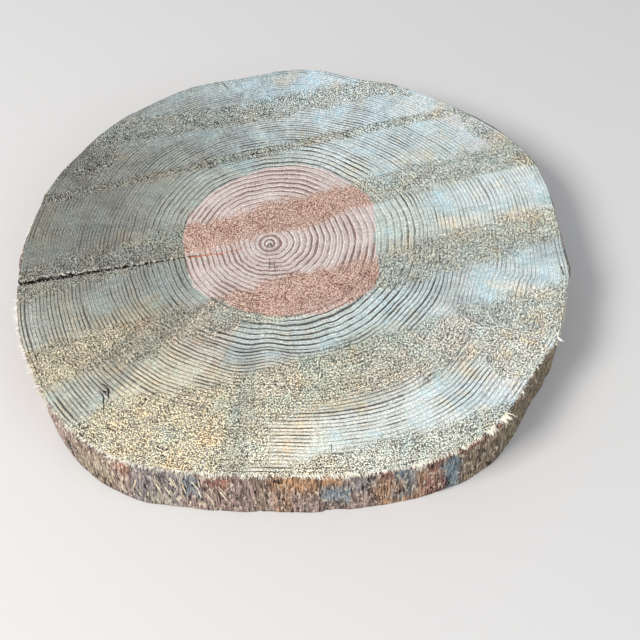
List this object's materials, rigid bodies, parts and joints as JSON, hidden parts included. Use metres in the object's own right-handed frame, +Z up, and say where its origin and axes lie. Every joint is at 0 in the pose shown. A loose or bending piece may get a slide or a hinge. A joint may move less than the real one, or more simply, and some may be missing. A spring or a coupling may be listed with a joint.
{
  "type": "yellow pine wood cookie",
  "caption": "Thick round slice sawn across a pine stem, bark off, with growth rings, blue stain and a radial drying check; lies flat on its sawn underside.",
  "frame": {"origin": "middle of the underside's outline, on the surface that the slab lies on", "axes": "+Z up through the slab along the stem, -Y towards the front, where the picture shows the wall"},
  "size_m": [0.6124, 0.596, 0.07],
  "materials": {
    "stained_pine": "rough-sawn end grain, grey-blue stained sapwood round a pink-brown heart, bare debarked wall"
  },
  "bodies": {
    "root": {"wood_cookie": "stained_pine"}
  },
  "joints": []
}
